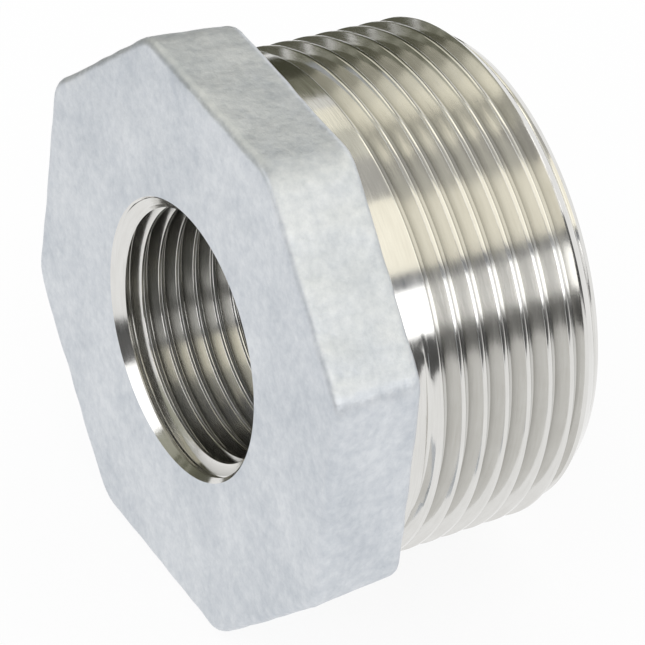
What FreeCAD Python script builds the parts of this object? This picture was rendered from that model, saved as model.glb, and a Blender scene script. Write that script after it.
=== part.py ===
"""Cast steel reducing bushing with an octagonal head, in millimetres.

One solid. The X axis is the thread axis: the head's front face looks along -X and the male end
along +X. The origin is on that axis, in the plane of the shoulder where the head's back face
meets the threaded shank. Two of the head's flats lie above and below, so +Z is up when the
bushing lies on its side. The male thread is a true tapered helix that runs out towards the
shoulder. The female one is plain here, at its minor diameter, as it would be before tapping.
Angles round the axis are turned from +Z towards -Y, the right-hand turn about +X.
"""
import FreeCAD, Part
import math
import os

# Head: cast octagon, widest at the front face
head_sides = 8
head_across_flats = 53.4
head_thickness = 9.6
head_draft_deg = 5.5
head_corner_round = 4.0
head_front_round = 0.8
head_back_round = 1.1

# Male pipe thread, 1 1/2 size, eleven threads to the inch
thread_taper = 1 / 16
male_gauge_diameter = 47.803
male_gauge_length = 12.7
male_pitch = 2.309
male_thread_depth = 1.479
male_thread_angle_deg = 55.0
male_length = 21.4
male_chamfer_angle_deg = 38.0
male_chamfer_clearance = 0.4

# Run-out of the male thread: its first groove starts here and reaches its depth after this turn
run_out_x = 2.22
run_out_start_deg = 45.0
run_out_turn_deg = 100.0
run_out_points = 10
cutter_clearance = 0.1

# Female pipe thread, 3/4 size, fourteen threads to the inch, parallel
female_major_diameter = 26.441
female_minor_diameter = 24.117
female_hub_length = 17.0
countersink_half_angle_deg = 45.0
mouth_clearance = 0.4
inner_mouth_clearance = 0.2

# Recess left by the core behind the female thread
recess_wall = 3.5
recess_floor_bevel = 1.2
recess_lip_chamfer = 0.6

# Places along the axis, from the shoulder
front_x = -head_thickness
end_x = male_length
floor_x = front_x + female_hub_length
male_gauge_x = end_x - male_gauge_length

AXIS = FreeCAD.Vector(1, 0, 0)
ORIGIN = FreeCAD.Vector(0, 0, 0)
SAME_PLACE = 1e-4


def tangent(degrees):
    """Tangent of an angle given in degrees."""
    return math.tan(math.radians(degrees))


def male_crest_radius(x):
    """Radius of the male thread's crests at a place along the axis."""
    return male_gauge_diameter / 2 - (x - male_gauge_x) * thread_taper / 2


def outward(turn):
    """Unit vector square to the axis, turned from +Z towards -Y by an angle in radians."""
    return FreeCAD.Vector(0, -math.sin(turn), math.cos(turn))


def turned(profile):
    """Solid of revolution about the thread axis, from (x, radius) points that start and end on it."""
    points = [FreeCAD.Vector(x, 0, radius) for x, radius in profile]
    face = Part.Face(Part.makePolygon(points + points[:1]))
    return face.revolve(ORIGIN, AXIS, 360)


def lies_at(edge, x):
    """True where a whole edge lies in the plane x."""
    box = edge.BoundBox
    return abs(box.XMin - x) < SAME_PLACE and abs(box.XMax - x) < SAME_PLACE


def head_walls():
    """Drafted flats, facing outwards, and the cones that round the corners between them."""
    half_side = math.pi / head_sides
    draft_offset = head_thickness * tangent(head_draft_deg)
    centre_distance = (head_across_flats / 2 - head_corner_round) / math.cos(half_side)

    def drafted_line(corner, normal):
        """Line along the head where a corner's cone meets the flat with this normal."""
        centre = outward(corner) * centre_distance
        front = centre + outward(normal) * head_corner_round + AXIS * front_x
        back = centre + outward(normal) * (head_corner_round - draft_offset)
        return front, back

    flats, cones = [], []
    for k in range(head_sides):
        normal = 2 * k * half_side
        start = drafted_line(normal - half_side, normal)
        end = drafted_line(normal + half_side, normal)
        flats.append(Part.Face(Part.makePolygon([start[0], end[0], end[1], start[1], start[0]])))
        side = Part.LineSegment(*end).toShape()
        centre = outward(normal + half_side) * centre_distance
        cones.append(side.revolve(centre, AXIS, math.degrees(2 * half_side)))
    return flats + cones


def end_face(walls, x):
    """Flat face that closes the walls in the plane x."""
    edges = [e for wall in walls for e in wall.Edges if lies_at(e, x)]
    return Part.Face(Part.Wire(Part.sortEdges(edges)[0]))


def make_head():
    """Octagonal head with drafted flats, rounded corners and rounded front and back edges."""
    walls = head_walls()
    shell = Part.Shell(walls + [end_face(walls, front_x), end_face(walls, 0)])
    shell.sewShape()
    head = Part.Solid(shell)
    head = head.makeFillet(head_front_round, [e for e in head.Edges if lies_at(e, front_x)])
    return head.makeFillet(head_back_round, [e for e in head.Edges if lies_at(e, 0)])


def make_shank():
    """Tapered shank at the thread's crests, chamfered at its end to below the thread's roots."""
    end_radius = male_crest_radius(end_x) - male_thread_depth - male_chamfer_clearance
    chamfer_angle = math.radians(male_chamfer_angle_deg)
    slope = math.tan(chamfer_angle) - thread_taper / 2
    chamfer_length = (male_crest_radius(end_x) - end_radius) / slope
    chamfer_x = end_x - chamfer_length
    buried_x = front_x / 2
    return turned([
        (buried_x, 0),
        (buried_x, male_crest_radius(0)),
        (0, male_crest_radius(0)),
        (chamfer_x, male_crest_radius(chamfer_x)),
        (end_x, end_radius),
        (end_x, 0),
    ])


def root_point(turn_deg, lift=0.0):
    """Point in the middle of the male thread's root at an angle, lifted outwards by a length."""
    x = run_out_x + male_pitch * (turn_deg - run_out_start_deg) / 360
    return AXIS * x + outward(math.radians(turn_deg)) * (male_crest_radius(x) - male_thread_depth + lift)


def run_out_path():
    """Path on which the cutter comes in from outside the crests to the thread's depth, without a kink."""
    lift = male_thread_depth + cutter_clearance
    points = []
    for k in range(run_out_points + 1):
        share = k / run_out_points
        fade = 1 - share * share * (3 - 2 * share)
        points.append(root_point(run_out_start_deg + share * run_out_turn_deg, lift * fade))
    end_deg = run_out_start_deg + run_out_turn_deg
    small_turn = 0.001
    path = Part.BSplineCurve()
    path.interpolate(
        Points=points,
        InitialTangent=root_point(run_out_start_deg + small_turn, lift) - points[0],
        FinalTangent=points[-1] - root_point(end_deg - small_turn),
    )
    return path.toShape()


def helix_path():
    """Tapered right-hand helix along the male thread's root, from the run-out to past the end."""
    end_deg = run_out_start_deg + run_out_turn_deg
    start = root_point(end_deg)
    height = end_x + male_pitch - start.x
    radius = male_crest_radius(start.x) - male_thread_depth
    helix = Part.makeLongHelix(male_pitch, height, radius, -math.degrees(math.atan(thread_taper / 2)))
    along_axis = FreeCAD.Rotation(FreeCAD.Vector(0, 1, 0), 90)
    turned_to_start = FreeCAD.Rotation(AXIS, end_deg - 180)
    helix.Placement = FreeCAD.Placement(AXIS * start.x, turned_to_start.multiply(along_axis))
    return helix


def make_thread_groove():
    """Solid that the thread's tool sweeps: one groove with straight flanks, flat at its root."""
    flank = tangent(male_thread_angle_deg / 2)
    root_half = (male_pitch / 2 - male_thread_depth * flank) / 2
    height = male_thread_depth + cutter_clearance
    top_half = root_half + height * flank
    foot = root_point(run_out_start_deg, height)
    up = outward(math.radians(run_out_start_deg)) * height
    section = Part.makePolygon([
        foot - AXIS * root_half,
        foot + AXIS * root_half,
        foot + up + AXIS * top_half,
        foot + up - AXIS * top_half,
        foot - AXIS * root_half,
    ])
    sweep = Part.BRepOffsetAPI.MakePipeShell(Part.Wire([run_out_path()] + helix_path().Edges))
    sweep.setBiNormalMode(AXIS)
    sweep.add(section, False, False)
    sweep.build()
    sweep.makeSolid()
    return sweep.shape()


def recess_radius():
    """Radius of the recess, one wall inside the thread's roots at the male end."""
    return male_crest_radius(end_x) - male_thread_depth - recess_wall


def make_recess():
    """Recess behind the female thread, with a bevelled floor and a chamfered lip."""
    radius = recess_radius()
    return turned([
        (floor_x, 0),
        (floor_x, radius - recess_floor_bevel),
        (floor_x + recess_floor_bevel, radius),
        (end_x - recess_lip_chamfer, radius),
        (end_x, radius + recess_lip_chamfer),
        (end_x, 0),
    ])


def make_bore():
    """Tapping bore at the female thread's minor diameter, countersunk at both mouths."""
    radius = female_minor_diameter / 2
    mouth = (female_major_diameter + mouth_clearance) / 2
    inner_mouth = (female_major_diameter + inner_mouth_clearance) / 2
    slope = tangent(countersink_half_angle_deg)
    return turned([
        (front_x, 0),
        (front_x, mouth),
        (front_x + (mouth - radius) / slope, radius),
        (floor_x - (inner_mouth - radius) / slope, radius),
        (floor_x, inner_mouth),
        (floor_x, 0),
    ])


def make_bushing():
    """The whole casting, machined."""
    body = make_head().fuse(make_shank())
    return body.cut(make_recess()).cut(make_bore()).removeSplitter().cut(make_thread_groove())


bushing = make_bushing()
solid = bushing.Solids[0]
os.makedirs("parts", exist_ok=True)
solid.exportStep("parts/bushing_body.step")

box = solid.optimalBoundingBox()
bore_cones = female_major_diameter - female_minor_diameter + (mouth_clearance + inner_mouth_clearance) / 2
bore_wall = female_hub_length - bore_cones / tangent(countersink_half_angle_deg)
print("solids", len(bushing.Solids), "valid", solid.isValid(), "volume", round(solid.Volume, 1))
print("box", [round(v, 3) for v in (box.XMin, box.XMax, box.YMin, box.YMax, box.ZMin, box.ZMax)])
print("bore wall length", round(bore_wall, 3), "recess radius", round(recess_radius(), 3))
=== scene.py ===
"""Looks of a cast reducing bushing: octagonal wrench head, tapered male pipe thread, female pipe thread.

The X axis is the thread axis, as in the CAD. One piece stands for the whole casting. It is swept
round that axis from four section lines that share their columns, so that they close into one
shell: the male thread, the head, the female thread and the cored recess. Angles round the axis
are turned from +Z towards -Y, which is the right-hand turn about +X.
"""

import logging
import math
from dataclasses import dataclass, field
from enum import Enum
from functools import cached_property
from typing import Any, Callable

import bmesh
import bpy
from bmesh.types import BMesh, BMVert
from mathutils import Matrix, Vector, noise

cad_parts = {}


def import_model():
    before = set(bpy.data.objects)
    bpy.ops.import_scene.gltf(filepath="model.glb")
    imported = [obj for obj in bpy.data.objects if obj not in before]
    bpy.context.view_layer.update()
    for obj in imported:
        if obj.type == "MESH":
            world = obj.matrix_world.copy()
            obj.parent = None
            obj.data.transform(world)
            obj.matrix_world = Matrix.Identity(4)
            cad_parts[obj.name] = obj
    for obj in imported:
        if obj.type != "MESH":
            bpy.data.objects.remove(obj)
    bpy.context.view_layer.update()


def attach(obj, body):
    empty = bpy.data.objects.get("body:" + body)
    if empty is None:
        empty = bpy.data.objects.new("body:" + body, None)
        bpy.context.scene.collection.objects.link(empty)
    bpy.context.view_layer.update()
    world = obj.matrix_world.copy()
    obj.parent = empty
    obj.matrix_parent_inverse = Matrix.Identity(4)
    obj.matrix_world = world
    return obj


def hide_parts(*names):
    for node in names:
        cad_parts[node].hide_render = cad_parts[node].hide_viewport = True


MM = 0.001
COLUMNS = 256
WEDGES = 16
ROUND_PIECES = 5
SAME_PLACE = 0.004 * MM
SHARP_ANGLE = math.radians(34.0)
AXIS = Vector((1.0, 0.0, 0.0))
ORIGIN = Vector((0.0, 0.0, 0.0))

Colour = tuple[float, float, float, float]
Line = list[tuple[float, float]]
Shape = Callable[[float, float, float], tuple[float, float]]

log = logging.getLogger("bushing")


class Finish(Enum):
    """Finishes of the casting, in the order of its material slots."""

    CAST = 0
    MACHINED = 1
    CORED = 2


def smooth_step(value: float) -> float:
    """Smooth rise from 0 to 1 as value goes from 0 to 1."""
    value = min(1.0, max(0.0, value))
    return value * value * (3.0 - 2.0 * value)


def turn_of(point: Vector) -> float:
    """Angle of a point round the axis, from 0 up to a full turn."""
    return math.atan2(-point.y, point.z) % math.tau


def radius_of(point: Vector) -> float:
    """Distance of a point from the axis."""
    return math.hypot(point.y, point.z)


def at(x: float, radius: float, turn: float) -> Vector:
    """Point at a place along the axis, a radius and an angle round it."""
    return Vector((x, -radius * math.sin(turn), radius * math.cos(turn)))


def rounded(corners: list[tuple[float, float, float]], steps: int) -> Line:
    """Line through corners, with each corner rounded by its own radius.

    Args:
        corners: (x, radius, rounding) of each corner. A rounding of 0 leaves the corner sharp.
        steps: Number of straight pieces in each rounding.

    Returns:
        The points of the line.
    """
    line: Line = [corners[0][:2]]
    for before, corner, after in zip(corners, corners[1:], corners[2:]):
        here = Vector(corner[:2])
        if not corner[2]:
            line.append(tuple(here))
            continue
        to_before = (Vector(before[:2]) - here).normalized()
        to_after = (Vector(after[:2]) - here).normalized()
        half = to_before.angle(to_after) / 2
        middle = (to_before + to_after).normalized()
        centre = here + middle * corner[2] / math.sin(half)
        start = here + to_before * corner[2] / math.tan(half) - centre
        sweep = to_before.angle_signed(to_after)
        sweep = math.copysign(math.pi - abs(sweep), sweep)
        for k in range(steps + 1):
            arm = start.copy()
            arm.rotate(Matrix.Rotation(sweep * k / steps, 2))
            line.append(tuple(centre + arm))
    return line + [corners[-1][:2]]


def divided(line: Line, longest: float) -> Line:
    """The same line with its long pieces cut into equal ones no longer than longest."""
    points: Line = [line[0]]
    slack = 1e-6
    for (x0, r0), (x1, r1) in zip(line, line[1:]):
        count = max(1, math.ceil(math.hypot(x1 - x0, r1 - r0) / longest - slack))
        points += [(x0 + (x1 - x0) * k / count, r0 + (r1 - r0) * k / count) for k in range(1, count + 1)]
    return points


def swept(bm: BMesh, line: Line, lead: float = 0.0) -> list[BMVert]:
    """Sweeps a section line once round the axis, in the columns that all of the casting shares.

    One wedge is spun from the line, and the others are copies of it.

    Args:
        bm: Mesh that gets the new surface.
        line: (x, radius) points of the section, in metres.
        lead: Advance along the axis in one turn.

    Returns:
        The new surface's vertices.
    """
    known = set(bm.verts), set(bm.edges), set(bm.faces)
    turn = {"cent": ORIGIN, "axis": AXIS}
    start = [bm.verts.new((x, 0.0, radius)) for x, radius in line]
    edges = [bm.edges.new(pair) for pair in zip(start, start[1:])]
    steps = COLUMNS // WEDGES
    wedge = math.tau / WEDGES
    bmesh.ops.spin(bm, geom=start + edges, dvec=AXIS * lead / COLUMNS, angle=wedge, steps=steps, **turn)
    geom = [e for kind, old in zip((bm.verts, bm.edges, bm.faces), known) for e in kind if e not in old]
    copies = WEDGES - 1
    bmesh.ops.spin(
        bm,
        geom=geom,
        dvec=AXIS * lead / WEDGES,
        angle=wedge * copies,
        steps=copies,
        use_duplicate=True,
        **turn,
    )
    return [v for v in bm.verts if v not in known[0]]


def shaped(verts: list[BMVert], shape: Shape) -> None:
    """Moves vertices along the axis and square to it.

    Args:
        verts: Vertices to move.
        shape: Function from (x, radius, turn) to the new (x, radius).
    """
    for vert in verts:
        turn = turn_of(vert.co)
        vert.co = at(*shape(vert.co.x, radius_of(vert.co), turn), turn)


class Value:
    """A number, vector or colour that a shader works out. Operators on numbers add Math nodes."""

    def __init__(self, graph: "Graph", socket: bpy.types.NodeSocket) -> None:
        """Wraps an output socket of one of the graph's nodes."""
        self.graph = graph
        self.socket = socket

    def math(self, operation: str, *values: Any) -> "Value":
        """Adds a Math node that works on these values."""
        return self.graph.node("ShaderNodeMath", {"operation": operation}, dict(enumerate(values)))

    def __add__(self, other: Any) -> "Value":
        """Sum."""
        return self.math("ADD", self, other)

    def __sub__(self, other: Any) -> "Value":
        """Difference."""
        return self.math("SUBTRACT", self, other)

    def __rsub__(self, other: Any) -> "Value":
        """Difference from a number on the left."""
        return self.math("SUBTRACT", other, self)

    def __mul__(self, other: Any) -> "Value":
        """Product."""
        return self.math("MULTIPLY", self, other)

    def clamped(self) -> "Value":
        """The same number kept between 0 and 1."""
        return self.graph.node("ShaderNodeClamp", {}, {"Value": self})


class Graph:
    """The node tree of a material or of the world."""

    def __init__(self, tree: bpy.types.NodeTree) -> None:
        """Starts with an empty tree."""
        self.tree = tree
        tree.nodes.clear()

    def node(
        self, kind: str, settings: dict[str, Any], inputs: dict[Any, Any], output: int | str = 0
    ) -> Value:
        """Adds a node.

        Args:
            kind: The node's type.
            settings: Its settings, set before its sockets.
            inputs: Values or links of its sockets, by name or number.
            output: The socket to give back.

        Returns:
            The chosen output.
        """
        made = self.tree.nodes.new(kind)
        for name, value in settings.items():
            setattr(made, name, value)
        for name, value in inputs.items():
            if isinstance(value, Value):
                self.tree.links.new(value.socket, made.inputs[name])
            else:
                made.inputs[name].default_value = value
        return Value(self, made.outputs[output] if made.outputs else None)

    def blend(self, share: Any, first: Any, second: Any) -> Value:
        """Colour between two colours."""
        inputs = {0: share, 6: first, 7: second}
        return self.node("ShaderNodeMix", {"data_type": "RGBA"}, inputs, output=2)

    def stretched(self, vector: Value, scale: tuple[float, float, float]) -> Value:
        """Vector times one number for each axis."""
        return self.node("ShaderNodeVectorMath", {"operation": "MULTIPLY"}, {0: vector, 1: scale})

    def noise(self, vector: Value, scale: float, detail: float, roughness: float = 0.5) -> Value:
        """Noise from 0 to 1 at a vector."""
        inputs = {"Vector": vector, "Scale": scale, "Detail": detail, "Roughness": roughness}
        return self.node("ShaderNodeTexNoise", {}, inputs)

    def seen(self) -> Value:
        """1 for rays that the camera sees a surface by, also in metal and glass, and 0 for others."""
        camera, glossy, transmission = (
            self.node("ShaderNodeLightPath", {}, {}, f"Is {kind} Ray")
            for kind in ("Camera", "Glossy", "Transmission")
        )
        return (camera + glossy + transmission).clamped()

    def millimetres(self) -> Value:
        """Place on the object, in millimetres."""
        place = self.node("ShaderNodeTexCoord", {}, {}, output="Object")
        return self.stretched(place, (1 / MM,) * 3)

    def end_in(self, shader: Value, owner: str = "Material") -> None:
        """Makes a shader the surface of the tree's owner, a material or the world."""
        self.node(f"ShaderNodeOutput{owner}", {}, {"Surface": shader})

    def end_in_metal(self, colour: Value, bare: float, roughness: Value, height: Value) -> None:
        """Ends the tree in a metal's shader.

        Args:
            colour: Colour of the surface.
            bare: Share of it that is bare metal.
            roughness: Its roughness, kept between 0 and 1 here.
            height: Its relief, in metres.
        """
        bump = self.node("ShaderNodeBump", {}, {"Height": height, "Distance": 1.0, "Strength": 1.0})
        rough = roughness.clamped()
        inputs = {"Base Color": colour, "Metallic": bare, "Roughness": rough, "Normal": bump}
        self.end_in(self.node("ShaderNodeBsdfPrincipled", {}, inputs))


def grey(level: float) -> Colour:
    """Opaque grey of this level."""
    return (level, level, level, 1.0)


def new_material(name: str) -> tuple[bpy.types.Material, Graph]:
    """New material and its node tree, still empty."""
    made = bpy.data.materials.new(name)
    made.use_nodes = True
    return made, Graph(made.node_tree)


def new_object(name: str, bm: BMesh, materials: list[bpy.types.Material]) -> bpy.types.Object:
    """Makes a mesh into an object of the scene.

    Args:
        name: Name of the object and of its mesh.
        bm: The mesh, which is freed.
        materials: Its materials, in the order of its slots.

    Returns:
        The new object.
    """
    mesh = bpy.data.meshes.new(name)
    bm.to_mesh(mesh)
    bm.free()
    for material in materials:
        mesh.materials.append(material)
    made = bpy.data.objects.new(name, mesh)
    bpy.context.scene.collection.objects.link(made)
    return made


@dataclass(frozen=True)
class CastSkin:
    """Pickled cast stainless steel: pale and matt, with a faintly pebbled skin."""

    name: str = "cast_steel_skin"
    pale: Colour = (0.72, 0.745, 0.775, 1.0)
    dull: Colour = (0.53, 0.565, 0.61, 1.0)
    bare_metal: float = 0.75
    cloud_scale: float = 0.16
    mottle_scale: float = 1.1
    grain_scale: float = 5.0
    contrast: float = 3.4
    roughness: float = 0.42
    roughness_spread: float = 0.14
    grain_spread: float = 0.1
    pebble_height: float = 0.07 * MM
    grain_height: float = 0.012 * MM

    def material(self) -> bpy.types.Material:
        """Makes the material."""
        made, graph = new_material(self.name)
        place = graph.millimetres()
        clouds = graph.noise(place, self.cloud_scale, detail=3.0)
        mottle = graph.noise(place, self.mottle_scale, detail=5.0, roughness=0.65)
        grain = graph.noise(place, self.grain_scale, detail=3.0, roughness=0.6)
        tone = (clouds * 0.4 + mottle * 0.6 - 0.5) * self.contrast + 0.5
        graph.end_in_metal(
            colour=graph.blend(tone.clamped(), self.dull, self.pale),
            bare=self.bare_metal,
            roughness=(mottle - 0.5) * self.roughness_spread
            + (grain - 0.5) * self.grain_spread
            + self.roughness,
            height=mottle * self.pebble_height + grain * self.grain_height,
        )
        return made


# As-cast skin like the head's, with its colours darkened to paint the shade deep inside the recess.
CORED_SHADED_SKIN = CastSkin(
    name="cored_steel_painted_shade",
    pale=(0.30, 0.31, 0.32, 1.0),
    dull=(0.16, 0.165, 0.17, 1.0),
    roughness=0.55,
)


@dataclass(frozen=True)
class MachinedSteel:
    """Turned stainless steel: bright, with the cutter's fine lines round the axis.

    It darkens towards the threads' roots with painted shade. Their sizes here are in millimetres, as the
    shader's
    places are: crests' radii at x = 0, depths, and the stretch of the axis that holds threads.
    """

    name: str = "machined_steel"
    bright: Colour = (0.77, 0.765, 0.745, 1.0)
    worn: Colour = (0.66, 0.65, 0.625, 1.0)
    # Painted shade: the colour that the threads' roots darken towards.
    groove_shade: Colour = (0.36, 0.355, 0.33, 1.0)
    line_stretch: tuple[float, float, float] = (7.0, 0.22, 0.22)
    patch_stretch: tuple[float, float, float] = (0.7, 0.35, 0.35)
    contrast: float = 2.0
    middle_tone: float = 0.55
    # Shares of the painted shade at the roots of the male and of the female thread.
    male_groove_shade: float = 0.4
    female_groove_shade: float = 0.7
    roughness: float = 0.13
    roughness_spread: float = 0.12
    groove_roughness: float = 0.1
    line_height: float = 0.004 * MM
    male_crest: float = 24.173
    male_taper: float = 1 / 32
    male_depth: float = 1.479
    female_crest: float = 12.0585
    female_depth: float = 1.162
    between: float = 17.0
    threaded: tuple[float, float] = (-8.2, 19.0)

    def groove_shade_share(self, graph: Graph, place: Value) -> Value:
        """Share of the painted shade in the threads' grooves at a place in millimetres: none at either
        thread's crests.
        """
        x, y, z = (graph.node("ShaderNodeSeparateXYZ", {}, {0: place}, axis) for axis in range(3))
        square = y * y + z * z
        radius = square.math("SQRT", square)
        outside = radius.math("GREATER_THAN", radius, self.between)
        male = (self.male_crest - x * self.male_taper - radius) * (1 / self.male_depth)
        female = (radius - self.female_crest) * (1 / self.female_depth)
        first, last = self.threaded
        inside = x.math("GREATER_THAN", x, first) * x.math("LESS_THAN", x, last)
        near_root = male.clamped() * male.clamped()
        male_shade_share = outside * near_root * near_root * self.male_groove_shade
        female_shade_share = (1.0 - outside) * female.clamped() * self.female_groove_shade
        return (male_shade_share + female_shade_share) * inside

    def material(self) -> bpy.types.Material:
        """Makes the material."""
        made, graph = new_material(self.name)
        place = graph.millimetres()
        lines = graph.noise(graph.stretched(place, self.line_stretch), 1.0, detail=4.0, roughness=0.65)
        patches = graph.noise(graph.stretched(place, self.patch_stretch), 1.0, detail=3.0)
        tone = (lines * 0.6 + patches * 0.4 - 0.5) * self.contrast + self.middle_tone
        # Painted shade, deepest in the threads' roots.
        shade_share = self.groove_shade_share(graph, place)
        steel = graph.blend(tone.clamped(), self.worn, self.bright)
        graph.end_in_metal(
            colour=graph.blend(shade_share, steel, self.groove_shade),
            bare=1.0,
            roughness=(lines + patches - 1.0) * self.roughness_spread
            + shade_share * self.groove_roughness
            + self.roughness,
            height=lines * self.line_height,
        )
        return made


@dataclass(frozen=True)
class ThreadForm:
    """Section of a 55 degree pipe thread. Its crests and roots are flat, with rounded edges."""

    pitch: float
    edge_round: float
    edge_pieces: int = 2
    flank_pieces: int = 2
    depth_share: float = 0.640327
    flat_share: float = 1 / 6

    @property
    def depth(self) -> float:
        """Height from the roots to the crests."""
        return self.depth_share * self.pitch

    def half_section(self) -> Line:
        """(distance along the axis, depth) points from the middle of a crest to that of a root."""
        flat = self.pitch * self.flat_share / 2
        middle = self.pitch / 2
        corners = [
            (0.0, 0.0, 0.0),
            (flat, 0.0, self.edge_round),
            (middle - flat, self.depth, self.edge_round),
            (middle, self.depth, 0.0),
        ]
        line = rounded(corners, self.edge_pieces)
        half = len(line) // 2
        (x0, d0), (x1, d1) = line[half - 1], line[half]
        flank = [
            (x0 + (x1 - x0) * k / self.flank_pieces, d0 + (d1 - d0) * k / self.flank_pieces)
            for k in range(1, self.flank_pieces)
        ]
        return line[:half] + flank + line[half:]

    def section(self) -> Line:
        """Points of one whole pitch, from a crest to just before the next one."""
        half = self.half_section()
        return half + [(self.pitch - x, drop) for x, drop in reversed(half[1:-1])]

    def ridges(self, crest: float, start: float, end: float) -> Line:
        """(x, depth) points of whole pitches that cover a length wherever the helix shifts them.

        Args:
            crest: Place of any crest where the sweep starts.
            start: Where the length starts.
            end: Where it ends.

        Returns:
            The points, the first of them at least one pitch before the start.
        """
        first = crest - self.pitch * math.ceil((crest - start) / self.pitch + 1)
        count = math.ceil((end - first) / self.pitch)
        points = [(first + k * self.pitch + x, drop) for k in range(count) for x, drop in self.section()]
        return points + [(first + count * self.pitch, 0.0)]


@dataclass
class MaleThread:
    """Tapered outer thread, with a plain band at the shoulder and a chamfer at its end."""

    form: ThreadForm = ThreadForm(2.309 * MM, edge_round=0.1 * MM)
    gauge_radius: float = 23.9015 * MM
    gauge_length: float = 12.7 * MM
    taper: float = 1 / 16
    length: float = 21.4 * MM
    chamfer_angle: float = math.radians(38.0)
    end_radius: float = 21.6259 * MM
    run_out_x: float = 2.22 * MM
    run_out_start: float = math.radians(45.0)
    run_out_turn: float = math.radians(100.0)
    cutter_clearance: float = 0.1 * MM

    def crest_radius(self, x: float) -> float:
        """Radius of the crests at a place along the axis."""
        return self.gauge_radius - (x - self.length + self.gauge_length) * self.taper / 2

    def shape(self, x: float, radius: float, turn: float) -> tuple[float, float]:
        """Tapers the thread, lifts the cutter where its first groove starts and cuts the chamfer."""
        place = (x - self.run_out_x) / self.form.pitch - (turn - self.run_out_start) / math.tau
        along = turn - self.run_out_start + math.tau * round(place)
        lift = (self.form.depth + self.cutter_clearance) * (1.0 - smooth_step(along / self.run_out_turn))
        drop = max(0.0, self.crest_radius(0.0) - radius - lift)
        x = min(self.length, max(0.0, x))
        cone = self.end_radius + (self.length - x) * math.tan(self.chamfer_angle)
        return x, min(self.crest_radius(x) - drop, cone)

    def build(self, bm: BMesh) -> None:
        """Adds the thread to the mesh, from the shoulder to the end."""
        crest = self.run_out_x - self.form.pitch * (self.run_out_start / math.tau + 0.5)
        radius = self.crest_radius(0.0)
        line = [(x, radius - drop) for x, drop in self.form.ridges(crest, 0.0, self.length)]
        shaped(swept(bm, line, lead=self.form.pitch), self.shape)


@dataclass
class FemaleThread:
    """Parallel inner thread, countersunk at both mouths."""

    form: ThreadForm = ThreadForm(1.814 * MM, edge_round=0.08 * MM, flank_pieces=1)
    minor_radius: float = 12.0585 * MM
    mouth_x: float = -9.6 * MM
    mouth_radius: float = 13.4205 * MM
    inner_x: float = 7.4 * MM
    inner_radius: float = 13.3205 * MM
    root_x: float = -7.9 * MM
    root_turn: float = math.radians(250.0)

    def shape(self, x: float, radius: float, turn: float) -> tuple[float, float]:
        """Keeps the thread between its mouths and cuts the countersinks."""
        x = min(self.inner_x, max(self.mouth_x, x))
        cones = self.mouth_radius - (x - self.mouth_x), self.inner_radius - (self.inner_x - x)
        return x, max(radius, *cones)

    def build(self, bm: BMesh) -> None:
        """Adds the thread to the mesh, from the mouth in the head's face to the recess."""
        crest = self.root_x - self.form.pitch * (self.root_turn / math.tau + 0.5)
        ridges = self.form.ridges(crest, self.mouth_x, self.inner_x)
        line = [(x, self.minor_radius + drop) for x, drop in ridges]
        shaped(swept(bm, line, lead=self.form.pitch), self.shape)


@dataclass
class WrenchHead:
    """Octagonal head, widest at its front face, with rounded corners and edges."""

    sides: int = 8
    flat_distance: float = 26.7 * MM
    thickness: float = 9.6 * MM
    draft: float = math.radians(5.5)
    corner_round: float = 4.0 * MM
    front_round: float = 0.8 * MM
    back_round: float = 1.1 * MM
    mouth_radius: float = 13.4205 * MM
    shank_radius: float = 24.173 * MM
    row: float = 0.7 * MM

    def outline_radius(self, flat: float, turn: float) -> float:
        """Radius of the rounded octagon whose flats are at this distance from the axis."""
        half_side = math.pi / self.sides
        centre = self.flat_distance - self.corner_round
        rounding = flat - centre
        off_flat = abs((turn + half_side) % (2 * half_side) - half_side)
        if off_flat <= math.atan2(centre * math.tan(half_side), flat):
            return flat / math.cos(off_flat)
        reach = centre / math.cos(half_side)
        off_corner = half_side - off_flat
        return reach * math.cos(off_corner) + math.sqrt(rounding**2 - (reach * math.sin(off_corner)) ** 2)

    def shape(self, x: float, radius: float, turn: float) -> tuple[float, float]:
        """Makes the octagon from the round sweep. Its two faces turn round at their inner edges."""
        for face_x, inner, outer in (
            (-self.thickness, self.mouth_radius, self.front_edge),
            (0.0, self.shank_radius, self.back_edge),
        ):
            if abs(x - face_x) < SAME_PLACE and radius < outer:
                share = (radius - inner) / (outer - inner)
                return face_x, inner + share * (self.outline_radius(outer, turn) - inner)
        return x, self.outline_radius(radius, turn)

    @cached_property
    def section(self) -> Line:
        """Section through the middle of a flat, from the shank to the mouth."""
        back_flat = self.flat_distance - self.thickness * math.tan(self.draft)
        front_x = -self.thickness
        return rounded(
            [
                (0.0, self.shank_radius, 0.0),
                (0.0, back_flat, self.back_round),
                (front_x, self.flat_distance, self.front_round),
                (front_x, self.mouth_radius, 0.0),
            ],
            ROUND_PIECES,
        )

    @cached_property
    def front_edge(self) -> float:
        """Distance from the axis to where the front face's rounding starts."""
        return min(r for x, r in self.section[1:-1] if abs(x + self.thickness) < SAME_PLACE)

    @cached_property
    def back_edge(self) -> float:
        """Distance from the axis to where the back face's rounding starts."""
        return min(r for x, r in self.section[1:-1] if abs(x) < SAME_PLACE)

    def build(self, bm: BMesh) -> None:
        """Adds the head to the mesh, from the shank round to the mouth in its front face."""
        shaped(swept(bm, divided(self.section, self.row)), self.shape)


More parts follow.
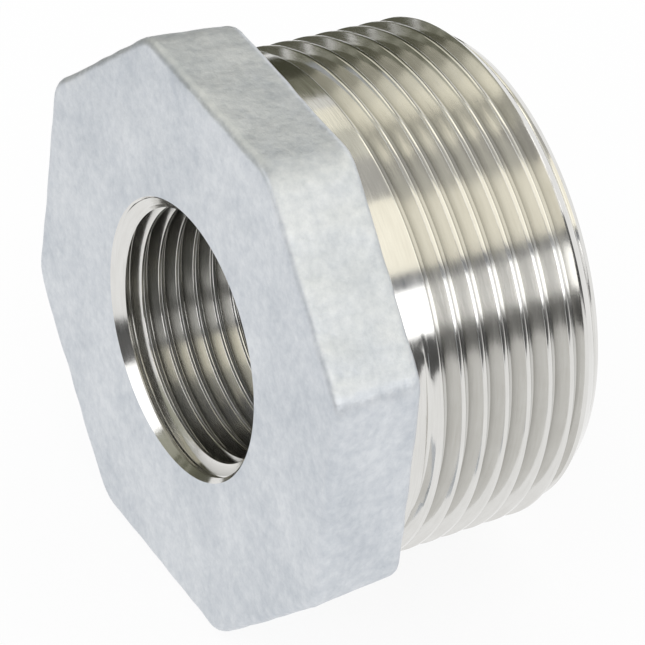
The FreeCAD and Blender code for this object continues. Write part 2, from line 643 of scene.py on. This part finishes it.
@dataclass
class CoredRecess:
    """Cast recess behind the female thread, and the turned end face round it."""

    floor_x: float = 7.4 * MM
    inner_radius: float = 13.3205 * MM
    floor_round: float = 2.0 * MM
    radius: float = 18.526 * MM
    lip: float = 0.6 * MM
    end_x: float = 21.4 * MM
    end_radius: float = 21.6259 * MM
    row: float = 1.0 * MM

    def build(self, bm: BMesh) -> None:
        """Adds the recess to the mesh, from the female thread to the end face's outer edge."""
        line = rounded(
            [
                (self.floor_x, self.inner_radius, 0.0),
                (self.floor_x, self.radius, self.floor_round),
                (self.end_x - self.lip, self.radius, 0.0),
                (self.end_x, self.radius + self.lip, 0.0),
                (self.end_x, self.end_radius, 0.0),
            ],
            ROUND_PIECES,
        )
        swept(bm, divided(line, self.row))


@dataclass
class Bushing:
    """The whole fitting: one casting, machined."""

    male: MaleThread = field(default_factory=MaleThread)
    female: FemaleThread = field(default_factory=FemaleThread)
    head: WrenchHead = field(default_factory=WrenchHead)
    recess: CoredRecess = field(default_factory=CoredRecess)
    unevenness: float = 0.09 * MM
    wave: float = 2.6 * MM

    def finish_at(self, place: Vector) -> Finish:
        """Finish of the surface at a place: threads and end face turned, head as cast, recess as cast
        with painted shade.
        """
        radius = radius_of(place)
        in_bore = radius < self.female.mouth_radius and place.x < self.female.inner_x - SAME_PLACE
        on_shank = place.x > 0.0 and radius > self.recess.radius
        if in_bore or on_shank:
            return Finish.MACHINED
        return Finish.CORED if place.x > 0.0 and radius < self.recess.radius else Finish.CAST

    def sink_skin(self, bm: BMesh) -> None:
        """Sinks the cast skin here and there: a casting is never as true as what is turned from it."""
        bm.normal_update()
        machined = Finish.MACHINED.value
        skin = [v for v in bm.verts if all(f.material_index != machined for f in v.link_faces)]
        sinks = [(v, v.normal.copy(), noise.noise(v.co / self.wave)) for v in skin]
        for vert, normal, level in sinks:
            vert.co -= normal * self.unevenness * smooth_step(level + 0.5)

    def build(self) -> bpy.types.Object:
        """Makes the casting as one closed mesh.

        Returns:
            The new object, with its place in its mesh.
        """
        bm = bmesh.new()
        for part in (self.male, self.female, self.head, self.recess):
            part.build(bm)
        bmesh.ops.remove_doubles(bm, verts=bm.verts, dist=SAME_PLACE)
        bmesh.ops.recalc_face_normals(bm, faces=bm.faces)
        for face in bm.faces:
            face.smooth = True
            face.material_index = self.finish_at(face.calc_center_median()).value
        self.sink_skin(bm)
        for edge in bm.edges:
            edge.smooth = edge.calc_face_angle(0.0) < SHARP_ANGLE
        open_edges = sum(not e.is_manifold for e in bm.edges)
        finishes = (CastSkin(), MachinedSteel(), CORED_SHADED_SKIN)
        piece = new_object("bushing", bm, [finish.material() for finish in finishes])
        crisp = piece.modifiers.new("crisp_flats", "WEIGHTED_NORMAL")
        crisp.mode, crisp.keep_sharp = "FACE_AREA_WITH_ANGLE", True
        log.info("bushing: %d faces, %d open edges", len(piece.data.polygons), open_edges)
        return piece


@dataclass(frozen=True)
class Card:
    """Part of a sphere round the object that only reflections see: a studio's dark flag or bright panel.

    Turns are angles round the thread axis, and leans are angles towards +X from the plane square to it.
    """

    name: str
    turns: tuple[float, float]
    leans: tuple[float, float]
    tone: Colour
    distance: float = 0.45
    rows: int = 12
    columns: int = 24

    def build(self) -> bpy.types.Object:
        """Makes the card, hidden from everything but reflections."""
        bm = bmesh.new()
        first, last = (math.radians(turn) for turn in self.turns)
        low, high = (math.radians(lean) for lean in self.leans)
        leans = [low + (high - low) * k / self.rows for k in range(self.rows + 1)]
        line = [bm.verts.new(self.distance * at(math.sin(a), math.cos(a), first)) for a in leans]
        geom = line + [bm.edges.new(pair) for pair in zip(line, line[1:])]
        angle = last - first
        bmesh.ops.spin(bm, geom=geom, cent=ORIGIN, axis=AXIS, angle=angle, steps=self.columns)
        material, graph = new_material(self.name)
        graph.end_in(graph.node("ShaderNodeEmission", {}, {"Color": self.tone, "Strength": 1.0}))
        card = new_object(self.name, bm, [material])
        card.visible_camera = card.visible_diffuse = card.visible_shadow = False
        card.visible_transmission = card.visible_volume_scatter = False
        return card


@dataclass
class Studio:
    """White table and background, and the cards that the steel reflects."""

    table_tilt: float = math.radians(6.1)
    table_radius: float = 0.6
    table_corners: int = 96
    table_colour: Colour = grey(0.97)
    table_whiteness: float = 0.9
    cards: tuple[Card, ...] = (
        Card("window_panel", (52.8, 72.8), (-45.0, 37.0), grey(2.3)),
        Card("window_side", (52.8, 75.0), (37.0, 75.0), grey(0.95)),
        Card("thin_flag", (45.5, 52.4), (-60.0, 37.0), (0.20, 0.21, 0.23, 1.0)),
        Card("thin_side_flag", (45.5, 52.4), (37.0, 75.0), (0.30, 0.31, 0.33, 1.0)),
        Card("horizon_flag", (73.8, 93.3), (-75.0, 36.0), grey(0.08)),
        Card("horizon_side", (75.0, 93.3), (36.0, 75.0), grey(0.26)),
        Card("top_panel", (12.0, 45.5), (-45.0, 35.0), (1.22, 1.17, 1.01, 1.0)),
        Card("top_side_panel", (12.0, 45.5), (35.0, 75.0), (1.4, 1.35, 1.18, 1.0)),
        Card("overhead_panel", (-9.0, 12.0), (-45.0, 34.0), (0.50, 0.49, 0.46, 1.0)),
        Card("overhead_side_panel", (-9.0, 12.0), (34.0, 75.0), (0.80, 0.79, 0.72, 1.0)),
        Card("back_inner_panel", (-24.5, -9.0), (-45.0, 31.4), (0.60, 0.59, 0.52, 1.0)),
        Card("back_high_panel", (-24.5, -9.0), (31.4, 75.0), (1.6, 1.54, 1.32, 1.0)),
        Card("back_warm_panel", (-39.0, -24.5), (17.0, 28.7), (1.4, 1.35, 1.15, 1.0)),
        Card("back_low_panel", (-39.0, -24.5), (-45.0, 17.0), (0.8, 0.77, 0.65, 1.0)),
        Card("back_top_flag", (-47.0, -24.5), (28.7, 40.0), (0.36, 0.35, 0.30, 1.0)),
        Card("back_mid_panel", (-50.0, -39.0), (8.0, 26.0), (1.1, 1.07, 0.92, 1.0)),
        Card("back_dim_panel", (-64.0, -50.0), (10.0, 26.0), (0.5, 0.49, 0.41, 1.0)),
        Card("back_flag", (-64.0, -47.0), (26.0, 40.0), (0.16, 0.16, 0.115, 1.0)),
        Card("back_edge_flag", (-94.0, -64.0), (20.0, 40.0), (0.06, 0.06, 0.04, 1.0)),
        Card("back_side_flag", (-94.0, -64.0), (-45.0, 20.0), (0.15, 0.15, 0.11, 1.0)),
        Card("back_low_flag", (-102.0, -88.0), (-45.0, 45.0), (0.12, 0.12, 0.09, 1.0), 0.13),
        Card("back_panel", (-64.0, -24.5), (-28.0, 10.0), (0.9, 0.87, 0.73, 1.0)),
        Card("front_corner_flag", (-94.0, -42.0), (-75.0, -28.0), (0.40, 0.40, 0.33, 1.0)),
        Card("front_flag", (-42.0, 73.8), (-88.0, -45.0), grey(0.12)),
        Card("front_panel", (-41.0, 36.0), (-70.0, -49.0), grey(1.8), 0.4),
    )

    def build_table(self, piece: bpy.types.Object) -> bpy.types.Object:
        """Makes the table's top, which touches the piece from below."""
        up = Vector((-math.sin(self.table_tilt), 0.0, math.cos(self.table_tilt)))
        lowest = min(up.dot(v.co) for v in piece.data.vertices)
        tilt = Matrix.Rotation(-self.table_tilt, 3, "Y")
        bm = bmesh.new()
        bmesh.ops.create_circle(
            bm, cap_ends=True, segments=self.table_corners, radius=self.table_radius
        )
        bmesh.ops.rotate(bm, verts=bm.verts, cent=ORIGIN, matrix=tilt)
        bmesh.ops.translate(bm, verts=bm.verts, vec=up * lowest)
        material, graph = new_material("white_table")
        shade = graph.node("ShaderNodeBsdfDiffuse", {}, {"Color": self.table_colour})
        white = graph.node("ShaderNodeEmission", {}, {"Color": grey(1.0), "Strength": 1.0})
        share = graph.seen() * self.table_whiteness
        graph.end_in(graph.node("ShaderNodeMixShader", {}, {0: share, 1: shade, 2: white}))
        return new_object("table", bm, [material])

    def build_world(self) -> None:
        """Makes the room, white all round."""
        world = bpy.data.worlds.new("white_room")
        world.use_nodes = True
        graph = Graph(world.node_tree)
        light = graph.node("ShaderNodeBackground", {}, {"Color": grey(1.0), "Strength": 1.0})
        graph.end_in(light, owner="World")
        bpy.context.scene.world = world

    def build(self, piece: bpy.types.Object) -> None:
        """Makes everything round the piece."""
        self.build_world()
        self.build_table(piece)
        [card.build() for card in self.cards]


@dataclass
class PhotoCamera:
    """Camera at the photograph's viewing angle."""

    place: tuple[float, float, float] = (-261.69 * MM, -402.833 * MM, 369.018 * MM)
    forward: tuple[float, float, float] = (0.438199, 0.66071, -0.609462)
    right: tuple[float, float, float] = (0.865956, -0.492116, 0.089119)
    lens: float = 370.64
    sensor: float = 36.0
    clip: tuple[float, float] = (0.05, 20.0)

    def build(self) -> None:
        """Makes the camera and gives it to the scene."""
        data = bpy.data.cameras.new("photo_camera")
        data.lens, data.sensor_width = self.lens, self.sensor
        data.clip_start, data.clip_end = self.clip
        camera = bpy.data.objects.new("photo_camera", data)
        back, right = -Vector(self.forward), Vector(self.right)
        up = back.cross(right)
        turn = Matrix((right, up, back)).transposed().to_4x4()
        camera.matrix_world = Matrix.Translation(self.place) @ turn
        bpy.context.scene.collection.objects.link(camera)
        bpy.context.scene.camera = camera


def main() -> None:
    """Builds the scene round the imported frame."""
    logging.basicConfig(level=logging.INFO, format="%(name)s: %(message)s")
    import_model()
    bushing = Bushing().build()
    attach(bushing, "root")
    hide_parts("bushing_body")
    PhotoCamera().build()
    Studio().build(bushing)
    bpy.context.scene.view_settings.view_transform = "Standard"


if __name__ == "__main__":
    main()
